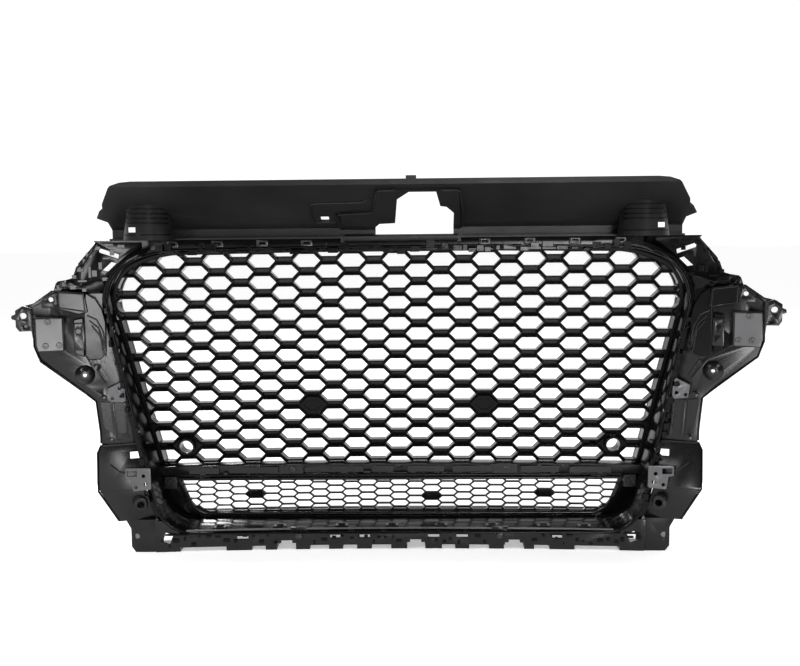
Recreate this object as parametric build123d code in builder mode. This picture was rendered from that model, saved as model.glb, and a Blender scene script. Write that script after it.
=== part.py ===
"""Front grille assembly for a car, seen standing on its clip strip.

+Z is up, +Y is forward (the way the car drives) and +X is to the right of
someone who stands behind the part. Millimetres. The origin is on the floor,
under the middle of the part.
"""

import os
from math import cos, radians, sin, tan

from build123d import *

# ---------------------------------------------------------------- overall
clearance = 0.3
mesh_lean = 12.5
carrier_lean = 3.0
bow_radius = 4330.0

# opening that the mesh and the lower insert share
opening_half_width = 391.5
opening_top_z = 419.0
shoulder_run = 61.5
shoulder_drop = 35.0
opening_top_half_width = opening_half_width - shoulder_run
opening_shoulder_z = opening_top_z - shoulder_drop
opening_crown = 4.0
opening_bottom_z = 34.0
side_taper = 63.6
shoulder_radius = 60.0
bottom_radius = 45.0

# construction solids run this far each way, past every edge of the part
reach = opening_half_width + 230.0

# depth of the layers, measured along Y at floor level in the middle
mesh_rear_y = 94.0
mesh_depth = 16.0
carrier_rear_y = 12.0
trim_depth = 7.0

# main honeycomb
cell_half_pitch = 30.8
row_pitch = 14.93
first_row_z = 290.8
cell_half_width = 19.0
cell_half_flat = 10.5
cell_half_height = 8.85
blank_sites = [(-4, 6), (4, 6)]
sensor_sites = [(-10, 10), (10, 10)]
sensor_bore_radius = 9.5
mesh_rim = 5.0

# lower honeycomb insert
small_half_pitch = 23.8
small_row_pitch = 5.85
small_first_row_z = 68.65
small_half_width = 13.4
small_half_flat = 8.3
small_half_height = 4.65
small_blanks = [(-9, 1), (2, 2), (9, 1)]
insert_depth = 5.0
insert_rim = 1.2
insert_top_z = 89.0
insert_bottom_z = 35.0
insert_side_margin = 69.5
insert_half_width = opening_half_width - insert_side_margin
insert_taper = 16.0
insert_corner_radius = 32.0
insert_frame_width = 6.0

# carrier frame and crossbar
carrier_wall = 4.0
flange_width = 6.0
flange_thickness = 4.0
flange_setback = 6.0
crossbar_top_z = 112.0
crossbar_bottom_z = 98.0
crossbar_depth = 26.0
crossbar_setback = 12.0
crossbar_slot_width = 11.0
crossbar_slot_height = 3.0
pad_centres = [-156.0, 156.0]
insert_frame_setback = 4.0

# clip strip that the part stands on
strip_foot_z = 6.0
strip_wall = 4.0
strip_side_margin = 47.5
strip_half_width = opening_half_width - strip_side_margin
strip_end_width = 34.0
strip_end_z = 46.0
foot_depth = 44.0
foot_thickness = 3.0
end_foot_x = strip_half_width - strip_end_width / 2
foot_centres = [-end_foot_x, -227.5, -182.0, -137.0, -90.0, -49.5, 0.0,
                49.0, 89.5, 138.0, 184.0, 230.0, end_foot_x]
foot_widths = [strip_end_width, 36.0, 16.0, 20.0, 20.0, 21.0, 23.0,
               24.0, 20.0, 21.0, 14.0, 35.0, strip_end_width]
cross_cut_centres = [-160.0, 23.5, 163.0]
cross_cut_width = 26.0
cross_cut_height = 15.0
strip_windows = [-222.0, -90.0, -49.5, 49.0, 89.5, 222.0]
strip_window_width = 16.0
strip_window_height = 7.0
tab_centres = [-142.0, 142.0]
tab_top_z = 34.0
tab_hole_z = 22.0
tab_half_width = 12.0

# cover over the radiator support
cover_side_margin = 5.5
cover_half_width = opening_half_width - cover_side_margin
cover_skin = 2.5
rail_height = 21.0
cover_base_z = opening_top_z + rail_height
cover_flange_front_y = 8.0
cover_flange_rear_y = -24.0
cover_wall_y = -6.0
cover_wall_height = 14.0
cover_wall_top_z = cover_base_z + cover_wall_height
cover_rear_y = -112.8
cover_rise = 52.0
cover_rear_z = cover_wall_top_z + cover_rise
cover_lip = 7.0
cover_corner_radius = 22.0
plateau_drop = 4.0
plateau_outline = [(-74, 2), (-71, 44), (-28, 51), (-20, 108), (81, 108), (88, 2)]
latch_outline = [(-27, -8), (-27, 8), (-21, 18), (0, 20), (4, 85), (19, 104), (53, 104),
                 (59, 66), (67, 64), (77, 47), (78, -8)]
latch_centre_x = 25.5
latch_width = 105.0
cone_side_margin = 62.0
cone_x = cover_half_width - cone_side_margin
cone_y = -46.0
cone_foot_radius = 33.0
cone_top_radius = 25.0
cone_height = 63.0
cone_slot_setout = 23.0
cone_slot_level = 14.0
cone_slot_width = 10.0
cone_slot_length = 112.0
cone_slot_turn = 16.0
cone_slot_height = 7.0
cone_wall = 2.5

# wings: flat side panels, swept back from the frame
wing_sweep = 19.0
wing_root_x = opening_half_width - 21.5
wing_root_y = 4.0
panel_thickness = 3.0
rib_height = 7.0
rib_width = 2.5
tray_wall = 2.5
bracket_thickness = 2.5
lamp_pocket_depth = 16.0
duct_depth = 20.0
cup_depth = 12.0
cup_hole_radius = 4.2
deflector_fold = 16.0
deflector_top_z = 158.0
deflector_fold_z = 95.0
deflector_bottom_z = 47.0
foot_box_depth = 34.0
foot_box_wall = 3.0
foot_hole_radius = 4.0
plate_hole_radius = 2.6
lamp_hole_radius = 3.2
tube_radius = 10.0
tube_bore_radius = 5.0
tube_end_setback = 26.0
tube_length = 15.5

# fasteners and small fittings
screw_head_radius = 4.5
screw_head_height = 3.0
screw_shank_radius = 2.2
screw_shank_length = 6.0
screw_fit = 0.05
seat_depth = 0.6
sensor_ring_radius = 12.5
sensor_ring_length = 9.0
clip_width = 16.0
clip_height = 9.0
clip_thickness = 3.0
clip_centres = [-300.0, -240.0, -180.0, -120.0, 120.0, 180.0, 240.0, 300.0]

mesh_slope = tan(radians(mesh_lean))
carrier_slope = tan(radians(carrier_lean))
parts_made = []


# ---------------------------------------------------------------- helpers
def mesh_y(x, z):
    """Rear surface of the mesh at a place on its face."""
    return mesh_rear_y - z * mesh_slope - x * x / (2 * bow_radius)


def carrier_y(x, z):
    """Rear edge of the carrier frame at a place on its face."""
    return carrier_rear_y - z * carrier_slope - x * x / (2 * bow_radius)


def bowed_space(face_y, lean, far_y):
    """The space between a bowed, leaning face and a far flat end."""
    half_span = reach
    edge_y = face_y - half_span**2 / (2 * bow_radius)
    height = reach
    drop = 20.0
    shift = drop * tan(radians(lean))
    with BuildPart() as space:
        with BuildSketch(Plane.XY.offset(-drop)):
            with BuildLine():
                ThreePointArc(
                    (-half_span, edge_y + shift), (0, face_y + shift), (half_span, edge_y + shift)
                )
                Polyline(
                    (half_span, edge_y + shift),
                    (half_span, far_y),
                    (-half_span, far_y),
                    (-half_span, edge_y + shift),
                )
            make_face()
        extrude(amount=height, dir=(0, -sin(radians(lean)), cos(radians(lean))))
    return space.part


def ahead_of(face_y, lean):
    return bowed_space(face_y, lean, reach)


def behind(face_y, lean):
    return bowed_space(face_y, lean, -reach)


def opening_outline(grow=0.0):
    """Outline of the frame's opening, grown outward by a margin."""
    bottom_half = opening_half_width - side_taper
    with BuildSketch() as outline:
        with BuildLine():
            ThreePointArc(
                (-opening_top_half_width, opening_top_z),
                (0, opening_top_z + opening_crown),
                (opening_top_half_width, opening_top_z),
            )
            Polyline(
                (opening_top_half_width, opening_top_z),
                (opening_half_width, opening_shoulder_z),
                (bottom_half, opening_bottom_z),
                (-bottom_half, opening_bottom_z),
                (-opening_half_width, opening_shoulder_z),
                (-opening_top_half_width, opening_top_z),
            )
        make_face()
        corners = outline.vertices().sort_by(Axis.Y)
        fillet(corners[:2], radius=bottom_radius)
        shoulders = outline.vertices().sort_by(Axis.Y)[-4:]
        fillet(shoulders, radius=shoulder_radius)
        if grow:
            offset(amount=grow)
    return outline.sketch_local


def insert_outline(grow=0.0):
    """Outline of the lower insert's open area, with rounded lower corners."""
    low_half = insert_half_width - insert_taper
    with BuildSketch() as outline:
        with BuildLine():
            Polyline(
                (-insert_half_width, insert_top_z),
                (insert_half_width, insert_top_z),
                (low_half, insert_bottom_z),
                (-low_half, insert_bottom_z),
                close=True,
            )
        make_face()
        fillet(outline.vertices().sort_by(Axis.Y)[:2], radius=insert_corner_radius)
        if grow:
            offset(amount=grow)
    return outline.sketch_local


def hexagon_points(half_width, half_flat, half_height):
    return [
        (-half_width, 0),
        (-half_flat, half_height),
        (half_flat, half_height),
        (half_width, 0),
        (half_flat, -half_height),
        (-half_flat, -half_height),
    ]


def cell_centres(columns, rows, half_pitch, row_step, top_z, skip):
    """Honeycomb cell centres: odd columns sit half a cell lower."""
    centres = []
    for column in range(-columns, columns + 1):
        for row in rows:
            if (column + row) % 2 == 0 and (column, row) not in skip:
                centres.append((column * half_pitch, top_z - row * row_step))
    return centres


def slab(outline, front_y, rear_y):
    """Extrude a flat outline along Y, between two places."""
    with BuildPart() as body:
        with BuildSketch(Plane.XZ.offset(-front_y)):
            add(outline)
        extrude(amount=front_y - rear_y)
    return body.part


def save(part, name):
    part.label = name
    export_step(part, f"parts/{name}.step")
    parts_made.append(name)


def save_pair(left_part, name):
    """Write a left-hand piece and its mirror image."""
    with BuildPart() as twin:
        mirror(left_part, about=Plane.YZ)
    save(left_part, f"left_{name}")
    save(twin.part, f"right_{name}")


def wing_plane(setback=0.0):
    """Plane of the left wing: local x runs outward, local y up, normal forward."""
    out_x = -cos(radians(wing_sweep))
    out_y = -sin(radians(wing_sweep))
    normal = Vector(-sin(radians(wing_sweep)), cos(radians(wing_sweep)), 0)
    origin = Vector(-wing_root_x, wing_root_y, 0) - normal * setback
    return Plane(origin=origin, x_dir=(out_x, out_y, 0), z_dir=normal)


def screw_seat(x, y, z, lean):
    """Plane of a spot-faced seat just below a leaning rear face, facing out of it."""
    out = Vector(0, -cos(radians(lean)), -sin(radians(lean)))
    return Plane(origin=Vector(x, y, z) - out * seat_depth, x_dir=(1, 0, 0), z_dir=out)


def cut_screw_seats(seats):
    """Drill the shank's hole and spot-face the head's seat."""
    with Locations(*seats):
        Cylinder(
            screw_shank_radius + screw_fit, screw_shank_length + clearance,
            align=(Align.CENTER, Align.CENTER, Align.MAX), mode=Mode.SUBTRACT,
        )
        Cylinder(
            screw_head_radius + clearance, screw_head_height,
            align=(Align.CENTER, Align.CENTER, Align.MIN), mode=Mode.SUBTRACT,
        )


def tray(outline_points, depth, wall, corner=2.0):
    """A shallow box on the wing's rear face, open towards the wing."""
    with BuildPart() as body:
        with BuildSketch(wing_plane(depth)) as outer:
            Polygon(*outline_points, align=None)
            fillet(outer.vertices(), radius=corner)
        extrude(amount=depth)
        with BuildSketch(wing_plane(depth - wall)) as inner:
            Polygon(*outline_points, align=None)
            fillet(inner.vertices(), radius=corner)
            offset(amount=-wall)
        extrude(amount=depth - wall, mode=Mode.SUBTRACT)
    return body.part


os.makedirs("parts", exist_ok=True)

frame_core = slab(opening_outline(mesh_rim + carrier_wall), reach, -reach)
flange_core = slab(opening_outline(mesh_rim + carrier_wall + flange_width), reach, -reach)
insert_grip = insert_outline(insert_frame_width)

# ---------------------------------------------------------------- main mesh
upper_columns = int(opening_half_width // cell_half_pitch) + 1
rows_above = int((opening_top_z + opening_crown - first_row_z) // row_pitch) + 1
rows_below = int((first_row_z - crossbar_top_z) // row_pitch) + 1
upper_cells = cell_centres(
    upper_columns, range(-rows_above, rows_below + 1), cell_half_pitch, row_pitch, first_row_z,
    blank_sites + sensor_sites,
)

with BuildSketch() as upper_field:
    add(opening_outline(mesh_rim))
    with Locations((0, crossbar_top_z)):
        Rectangle(2 * reach, reach, align=(Align.CENTER, Align.MAX), mode=Mode.SUBTRACT)

with BuildSketch() as upper_holes:
    with Locations(*upper_cells):
        Polygon(*hexagon_points(cell_half_width, cell_half_flat, cell_half_height), align=None)
    add(opening_outline(), mode=Mode.INTERSECT)
    with Locations((0, crossbar_top_z)):
        Rectangle(2 * reach, reach, align=(Align.CENTER, Align.MAX), mode=Mode.SUBTRACT)

sensor_places = [(c * cell_half_pitch, first_row_z - r * row_pitch) for c, r in sensor_sites]

with BuildPart() as main_mesh:
    with BuildSketch(Plane.XZ.offset(-reach)):
        add(upper_field.sketch_local)
        add(upper_holes.sketch_local, mode=Mode.SUBTRACT)
        with Locations(*sensor_places):
            Circle(sensor_bore_radius, mode=Mode.SUBTRACT)
    extrude(amount=2 * reach)
    add(ahead_of(mesh_rear_y, mesh_lean), mode=Mode.INTERSECT)
    add(behind(mesh_rear_y + mesh_depth, mesh_lean), mode=Mode.INTERSECT)
save(main_mesh.part, "main_mesh")

# ---------------------------------------------------------------- sensor holders
sensor_x, sensor_z = sensor_places[0]
with BuildPart() as sensor_holder:
    with BuildSketch(Plane.XZ.offset(-reach)):
        with Locations((sensor_x, sensor_z)):
            Circle(sensor_ring_radius)
            Circle(sensor_bore_radius, mode=Mode.SUBTRACT)
    extrude(amount=2 * reach)
    add(ahead_of(mesh_rear_y - sensor_ring_length, mesh_lean), mode=Mode.INTERSECT)
    add(behind(mesh_rear_y, mesh_lean), mode=Mode.INTERSECT)
save_pair(sensor_holder.part, "sensor_holder")

# ---------------------------------------------------------------- carrier frame
with BuildPart() as carrier_wall_ring:
    add(frame_core)
    add(slab(opening_outline(mesh_rim), reach, -reach), mode=Mode.SUBTRACT)
    add(ahead_of(carrier_rear_y, carrier_lean), mode=Mode.INTERSECT)
    add(behind(mesh_rear_y + mesh_depth, mesh_lean), mode=Mode.INTERSECT)

with BuildPart() as carrier_flange:
    add(flange_core)
    add(frame_core, mode=Mode.SUBTRACT)
    add(ahead_of(carrier_rear_y + flange_setback, carrier_lean), mode=Mode.INTERSECT)
    add(
        behind(carrier_rear_y + flange_setback + flange_thickness, carrier_lean),
        mode=Mode.INTERSECT,
    )

with BuildPart() as top_rail:
    with BuildSketch(Plane.XZ.offset(-reach)):
        with Locations((0, cover_base_z)):
            Rectangle(
                2 * opening_top_half_width, cover_base_z - opening_top_z,
                align=(Align.CENTER, Align.MAX),
            )
    extrude(amount=2 * reach)
    add(frame_core, mode=Mode.SUBTRACT)
    add(ahead_of(carrier_rear_y, carrier_lean), mode=Mode.INTERSECT)
    add(behind(carrier_rear_y + flange_thickness, carrier_lean), mode=Mode.INTERSECT)

with BuildPart() as recess_floor:
    with BuildSketch(Plane.XZ.offset(-reach)):
        add(opening_outline(mesh_rim))
        add(insert_grip, mode=Mode.SUBTRACT)
        with Locations((0, crossbar_bottom_z)):
            Rectangle(2 * reach, reach, align=(Align.CENTER, Align.MIN), mode=Mode.SUBTRACT)
        with Locations((0, insert_top_z)):
            Rectangle(
                2 * insert_half_width, crossbar_bottom_z - insert_top_z,
                align=(Align.CENTER, Align.MIN), mode=Mode.SUBTRACT,
            )
    extrude(amount=2 * reach)
    add(ahead_of(mesh_rear_y, mesh_lean), mode=Mode.INTERSECT)
    add(behind(mesh_rear_y + flange_thickness, mesh_lean), mode=Mode.INTERSECT)

with BuildPart() as carrier_frame:
    add(carrier_wall_ring.part)
    add(carrier_flange.part)
    add(top_rail.part)
    add(recess_floor.part)
save(carrier_frame.part, "carrier_frame")

# ---------------------------------------------------------------- crossbar
crossbar_mid_z = (crossbar_top_z + crossbar_bottom_z) / 2
pad_seats = [
    screw_seat(x, mesh_y(x, crossbar_mid_z) - crossbar_setback, crossbar_mid_z, mesh_lean)
    for x in pad_centres
]

with BuildPart() as crossbar:
    with BuildSketch(Plane.XZ.offset(-reach)):
        add(opening_outline(mesh_rim))
        with Locations((0, crossbar_mid_z)):
            Rectangle(2 * reach, crossbar_top_z - crossbar_bottom_z, mode=Mode.INTERSECT)
        with Locations((0, crossbar_mid_z + crossbar_slot_height)):
            Rectangle(crossbar_slot_width, crossbar_slot_height, mode=Mode.SUBTRACT)
    extrude(amount=2 * reach)
    add(ahead_of(mesh_rear_y - crossbar_setback, mesh_lean), mode=Mode.INTERSECT)
    add(behind(mesh_rear_y - crossbar_setback + crossbar_depth, mesh_lean), mode=Mode.INTERSECT)
    cut_screw_seats(pad_seats)
save(crossbar.part, "crossbar")

# ---------------------------------------------------------------- lower insert
lower_columns = int(insert_half_width // small_half_pitch) + 1
lower_rows = int((small_first_row_z - insert_bottom_z) // small_row_pitch) + 1
lower_cells = cell_centres(
    lower_columns, range(-lower_rows, lower_rows + 1), small_half_pitch, small_row_pitch,
    small_first_row_z, small_blanks,
)

with BuildSketch() as lower_holes:
    with Locations(*lower_cells):
        Polygon(*hexagon_points(small_half_width, small_half_flat, small_half_height), align=None)
    add(insert_outline(-insert_rim), mode=Mode.INTERSECT)

with BuildPart() as lower_mesh:
    with BuildSketch(Plane.XZ.offset(-reach)):
        add(insert_outline())
        add(lower_holes.sketch_local, mode=Mode.SUBTRACT)
    extrude(amount=2 * reach)
    add(ahead_of(mesh_rear_y, mesh_lean), mode=Mode.INTERSECT)
    add(behind(mesh_rear_y + insert_depth, mesh_lean), mode=Mode.INTERSECT)
save(lower_mesh.part, "lower_mesh")

frame_tabs = [-250.0, -150.0, -50.0, 50.0, 150.0, 250.0]
with BuildPart() as lower_mesh_frame:
    with BuildSketch(Plane.XZ.offset(-reach)):
        add(insert_grip)
        add(insert_outline(), mode=Mode.SUBTRACT)
        with Locations(*[(x, crossbar_bottom_z) for x in frame_tabs]):
            Rectangle(
                24, crossbar_bottom_z - insert_top_z, align=(Align.CENTER, Align.MAX),
            )
    extrude(amount=2 * reach)
    add(ahead_of(mesh_rear_y - insert_frame_setback, mesh_lean), mode=Mode.INTERSECT)
    add(behind(mesh_rear_y + insert_depth + 2, mesh_lean), mode=Mode.INTERSECT)
save(lower_mesh_frame.part, "lower_mesh_frame")

# ---------------------------------------------------------------- front trim
with BuildPart() as surround_trim:
    add(flange_core)
    add(slab(opening_outline(), reach, -reach), mode=Mode.SUBTRACT)
    add(ahead_of(mesh_rear_y + mesh_depth, mesh_lean), mode=Mode.INTERSECT)
    add(behind(mesh_rear_y + mesh_depth + trim_depth, mesh_lean), mode=Mode.INTERSECT)
save(surround_trim.part, "surround_trim")

# ---------------------------------------------------------------- clip strip
wall_bottom_z = opening_bottom_z - mesh_rim - carrier_wall
tab_seats = [
    screw_seat(x, carrier_y(x, tab_hole_z) - strip_wall, tab_hole_z, carrier_lean)
    for x in tab_centres
]

with BuildSketch() as strip_face:
    with Locations((0, strip_foot_z)):
        Rectangle(
            2 * strip_half_width, wall_bottom_z - strip_foot_z,
            align=(Align.CENTER, Align.MIN),
        )
    for side in (-1, 1):
        with Locations((side * end_foot_x, strip_foot_z)):
            Rectangle(
                strip_end_width, strip_end_z - strip_foot_z, align=(Align.CENTER, Align.MIN),
            )
    for centre, width in zip(foot_centres, foot_widths):
        with Locations((centre, 0)):
            Rectangle(width, 2 * strip_foot_z, align=(Align.CENTER, Align.MIN))
    with Locations(*[(x, strip_foot_z) for x in cross_cut_centres]):
        Rectangle(cross_cut_width * 0.6, cross_cut_height, mode=Mode.SUBTRACT)
        Rectangle(cross_cut_width, cross_cut_height * 0.45, mode=Mode.SUBTRACT)
    window_z = wall_bottom_z - 2 - strip_window_height / 2
    with Locations(*[(x, window_z) for x in strip_windows]):
        Rectangle(strip_window_width, strip_window_height, mode=Mode.SUBTRACT)
    for side in (-1, 1):
        with Locations((side * end_foot_x, 20)):
            Rectangle(11, 15, rotation=side * 20, mode=Mode.SUBTRACT)

with BuildPart() as strip_wall_body:
    with BuildSketch(Plane.XZ.offset(-reach)):
        add(strip_face.sketch_local)
    extrude(amount=2 * reach)
    add(frame_core, mode=Mode.SUBTRACT)
    add(ahead_of(carrier_rear_y, carrier_lean), mode=Mode.INTERSECT)
    add(behind(carrier_rear_y + strip_wall, carrier_lean), mode=Mode.INTERSECT)

with BuildPart() as strip_feet:
    with BuildSketch(Plane.XZ.offset(-reach)):
        for centre, width in zip(foot_centres, foot_widths):
            with Locations((centre, 0)):
                Rectangle(width, foot_thickness, align=(Align.CENTER, Align.MIN))
    extrude(amount=2 * reach)
    add(ahead_of(carrier_rear_y, carrier_lean), mode=Mode.INTERSECT)
    add(behind(carrier_rear_y + foot_depth, carrier_lean), mode=Mode.INTERSECT)

with BuildPart() as strip_tabs:
    with BuildSketch(Plane.XZ.offset(-reach)):
        for centre in tab_centres:
            with Locations((centre, 0)):
                Polygon(
                    (-tab_half_width, tab_top_z),
                    (tab_half_width, tab_top_z),
                    (4, tab_hole_z - 7),
                    (-4, tab_hole_z - 7),
                    align=None,
                )
    extrude(amount=2 * reach)
    add(ahead_of(carrier_rear_y - strip_wall, carrier_lean), mode=Mode.INTERSECT)
    add(behind(carrier_rear_y, carrier_lean), mode=Mode.INTERSECT)

with BuildPart() as clip_strip:
    add(strip_wall_body.part)
    add(strip_feet.part)
    add(strip_tabs.part)
    cut_screw_seats(tab_seats)
save(clip_strip.part, "clip_strip")

# ---------------------------------------------------------------- top cover
# underside of the slope: local y runs up it to the rear, the normal points down
slope_rise = cover_rear_z - cover_wall_top_z
slope_run = cover_wall_y - cover_skin - cover_rear_y
slope_plane = Plane(
    origin=(0, cover_wall_y - cover_skin, cover_wall_top_z),
    x_dir=(1, 0, 0),
    z_dir=(0, -slope_rise, -slope_run),
)

with BuildSketch() as cover_plan:
    with BuildLine():
        Polyline(
            (-cover_half_width, cover_flange_front_y),
            (cover_half_width, cover_flange_front_y),
            (cover_half_width - 3, cover_wall_y - 45),
            (cover_half_width - 22, cover_rear_y),
            (-cover_half_width + 22, cover_rear_y),
            (-cover_half_width + 3, cover_wall_y - 45),
            close=True,
        )
    make_face()
    fillet(cover_plan.vertices().sort_by(Axis.Y)[:2], radius=cover_corner_radius)
    for side in (-1, 1):
        with Locations((side * cover_half_width, cover_wall_y - 25)):
            Polygon(
                (-side * 6, 6), (side * 9, -8), (side * 17, -28), (-side * 6, -26), align=None,
            )

with BuildPart() as cover_profile:
    with BuildSketch(Plane.YZ.offset(-reach)):
        with BuildLine():
            Polyline(
                (cover_flange_front_y, cover_base_z),
                (cover_flange_rear_y, cover_base_z),
                (cover_flange_rear_y, cover_base_z + cover_skin),
                (cover_wall_y - cover_skin, cover_base_z + cover_skin),
                (cover_wall_y - cover_skin, cover_wall_top_z),
                (cover_rear_y, cover_rear_z),
                (cover_rear_y, cover_rear_z + cover_lip),
                (cover_rear_y + cover_skin, cover_rear_z + cover_lip),
                (cover_rear_y + cover_skin, cover_rear_z + cover_skin),
                (cover_wall_y, cover_wall_top_z + cover_skin),
                (cover_wall_y, cover_base_z + cover_skin),
                (cover_flange_front_y, cover_base_z + cover_skin),
                close=True,
            )
        make_face()
    extrude(amount=2 * reach)

with BuildPart() as under_slope:
    with BuildSketch(Plane.YZ.offset(-reach)):
        Polygon(
            (cover_wall_y - cover_skin, cover_base_z),
            (cover_wall_y - cover_skin, cover_wall_top_z),
            (cover_rear_y, cover_rear_z),
            (cover_rear_y, cover_base_z),
            align=None,
        )
    extrude(amount=2 * reach)

with BuildPart() as cone_cavities:
    with Locations((-cone_x, cone_y, cover_base_z), (cone_x, cone_y, cover_base_z)):
        Cone(
            cone_foot_radius - cone_wall, cone_top_radius - cone_wall,
            cone_height,
            align=(Align.CENTER, Align.CENTER, Align.MIN),
        )
    with Locations((0, 0, cover_base_z)):
        Box(
            2 * reach, 2 * reach, cover_skin,
            align=(Align.CENTER, Align.CENTER, Align.MIN), mode=Mode.SUBTRACT,
        )

with BuildPart() as buffer_cones:
    with Locations((-cone_x, cone_y, cover_base_z), (cone_x, cone_y, cover_base_z)):
        Cone(
            cone_foot_radius, cone_top_radius, cone_height,
            align=(Align.CENTER, Align.CENTER, Align.MIN),
        )
    add(under_slope.part, mode=Mode.INTERSECT)

with BuildPart() as cone_slots:
    for side in (-1, 1):
        slot_x = side * (cone_x + cone_slot_setout)
        with Locations((slot_x, cone_y, cover_base_z + cone_slot_level)):
            Box(
                cone_slot_width, cone_slot_length, cone_slot_height,
                rotation=(0, 0, -side * cone_slot_turn),
            )

with BuildPart() as latch_cut:
    with BuildSketch(slope_plane.offset(-15)):
        Polygon(*latch_outline, align=None)
    extrude(amount=30)
    with BuildSketch(Plane.XZ.offset(-cover_flange_front_y)):
        with Locations((latch_centre_x, cover_base_z + cover_skin)):
            Rectangle(
                latch_width, cover_wall_top_z - cover_base_z,
                align=(Align.CENTER, Align.MIN),
            )
    extrude(amount=cover_flange_front_y - cover_wall_y + 2 * cover_skin)

with BuildPart() as top_cover:
    add(cover_profile.part)
    with BuildSketch(slope_plane.offset(-cover_skin / 2)):
        Polygon(*plateau_outline, align=None)
    extrude(amount=plateau_drop + cover_skin / 2)
    with Locations((22, cover_rear_y + cover_skin, cover_rear_z)):
        Box(13, cover_skin, cover_lip + 4, align=(Align.CENTER, Align.MAX, Align.MIN))
    with BuildSketch(Plane.XY.offset(cover_base_z)):
        add(cover_plan.sketch_local)
    extrude(amount=reach, mode=Mode.INTERSECT)
    add(buffer_cones.part)
    add(cone_cavities.part, mode=Mode.SUBTRACT)
    add(cone_slots.part, mode=Mode.SUBTRACT)
    add(latch_cut.part, mode=Mode.SUBTRACT)
    with BuildSketch(slope_plane.offset(-15)):
        with Locations((-93, 26)):
            Rectangle(11, 14)
    extrude(amount=30, mode=Mode.SUBTRACT)
save(top_cover.part, "top_cover")

# ---------------------------------------------------------------- top clips
with BuildPart() as top_clips:
    with BuildSketch(Plane.XZ.offset(-reach)):
        for centre in clip_centres:
            with Locations((centre, cover_base_z - clip_height / 2 - 1)):
                Rectangle(clip_width, clip_height)
                Rectangle(clip_width / 2, clip_height / 3, mode=Mode.SUBTRACT)
    extrude(amount=2 * reach)
    add(ahead_of(carrier_rear_y - clip_thickness, carrier_lean), mode=Mode.INTERSECT)
    add(behind(carrier_rear_y, carrier_lean), mode=Mode.INTERSECT)
save(top_clips.part, "top_clips")

# ---------------------------------------------------------------- wings
with BuildPart() as arm_panel:
    with BuildSketch(wing_plane()) as arm_face:
        Polygon(
            (-40, deflector_top_z), (44, deflector_top_z), (44, 176), (49, 219),
            (62, 231), (118, 278), (125, 299), (128, 322), (140, 326), (146, 340),
            (140, 353), (124, 357), (100, 374), (60, 368), (40, 340), (-40, 340),
            align=None,
        )
    extrude(amount=panel_thickness)
    with BuildSketch(wing_plane(rib_height)):
        with BuildLine():
            Line((12, 215), (8, deflector_top_z + 8))
            offset(amount=rib_width / 2)
        make_face()
        with BuildLine():
            Line((27, 215), (23, deflector_top_z + 8))
            offset(amount=rib_width / 2)
        make_face()
        with BuildLine():
            Line((54, 272), (36, 246))
            offset(amount=rib_width / 2)
        make_face()
    extrude(amount=rib_height)
    with Locations(wing_plane()):
        with Locations((62, 257)):
            Cone(6, 12.5, rib_height, align=(Align.CENTER, Align.CENTER, Align.MAX))
        with Locations((46, 267)):
            Cylinder(5, 4, align=(Align.CENTER, Align.CENTER, Align.MAX))
        with Locations((39, 224)):
            Cylinder(4, 10, align=(Align.CENTER, Align.CENTER, Align.MAX))
        with Locations((31.5, 163)):
            Cylinder(4.5, 4, align=(Align.CENTER, Align.CENTER, Align.MAX))
    with BuildSketch(wing_plane(rib_height + 4)):
        with Locations((62, 257)):
            Circle(plate_hole_radius)
        with Locations((136.4, 341.6)):
            Circle(cup_hole_radius)
        with Locations((101, 362)):
            Circle(lamp_hole_radius)
        with Locations((106, 333), (93, 301), (110, 301)):
            Circle(lamp_hole_radius)
    extrude(amount=rib_height + 8, mode=Mode.SUBTRACT)
    add(flange_core, mode=Mode.SUBTRACT)
save_pair(arm_panel.part, "arm_panel")

lamp_pocket = tray(
    [(122, 339), (86, 339), (86, 292), (120, 292), (123, 302)], lamp_pocket_depth, tray_wall, 3,
)
with BuildPart() as headlight_bracket:
    add(lamp_pocket)
    with Locations(wing_plane(lamp_pocket_depth)):
        with Locations((106, 333), (93, 301), (110, 301)):
            Cylinder(4, 2.5, align=(Align.CENTER, Align.CENTER, Align.MAX))
    with BuildSketch(wing_plane(lamp_pocket_depth + 5)):
        with Locations((106, 333), (93, 301), (110, 301)):
            Circle(lamp_hole_radius)
        with Locations((117, 305)):
            Rectangle(4, 9)
    extrude(amount=lamp_pocket_depth + 5, mode=Mode.SUBTRACT)
save_pair(headlight_bracket.part, "headlight_bracket")

strip_plate_depth = 10.0
with BuildPart() as strip_plate:
    add(tray([(59.5, 292), (59.5, 330), (75, 330), (75, 292)], strip_plate_depth, tray_wall, 2))
    with BuildSketch(wing_plane(strip_plate_depth + 1)):
        with Locations((68, 318)):
            Circle(lamp_hole_radius)
        with Locations((67, 301)):
            Polygon((-4, 5), (4, 5), (-4, -5), align=None)
    extrude(amount=strip_plate_depth, mode=Mode.SUBTRACT)
save_pair(strip_plate.part, "strip_plate")

arm_plate_depth = 8.0
arm_plate_tray = tray(
    [(92, 351), (92, 372), (99, 372), (113, 361), (113, 351)], arm_plate_depth, tray_wall, 2,
)
with BuildPart() as arm_plate:
    add(arm_plate_tray)
    with BuildSketch(wing_plane(arm_plate_depth + 1)):
        with Locations((101, 362)):
            Circle(lamp_hole_radius)
    extrude(amount=arm_plate_depth, mode=Mode.SUBTRACT)
save_pair(arm_plate.part, "arm_plate")

duct_tray = tray(
    [(90, 373), (52, 366), (38, 345), (36, 329), (36, 280), (57, 280), (57, 334), (90, 350)],
    duct_depth, tray_wall, 3,
)
with BuildPart() as duct:
    add(duct_tray)
    add(flange_core, mode=Mode.SUBTRACT)
save_pair(duct.part, "duct")

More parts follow.
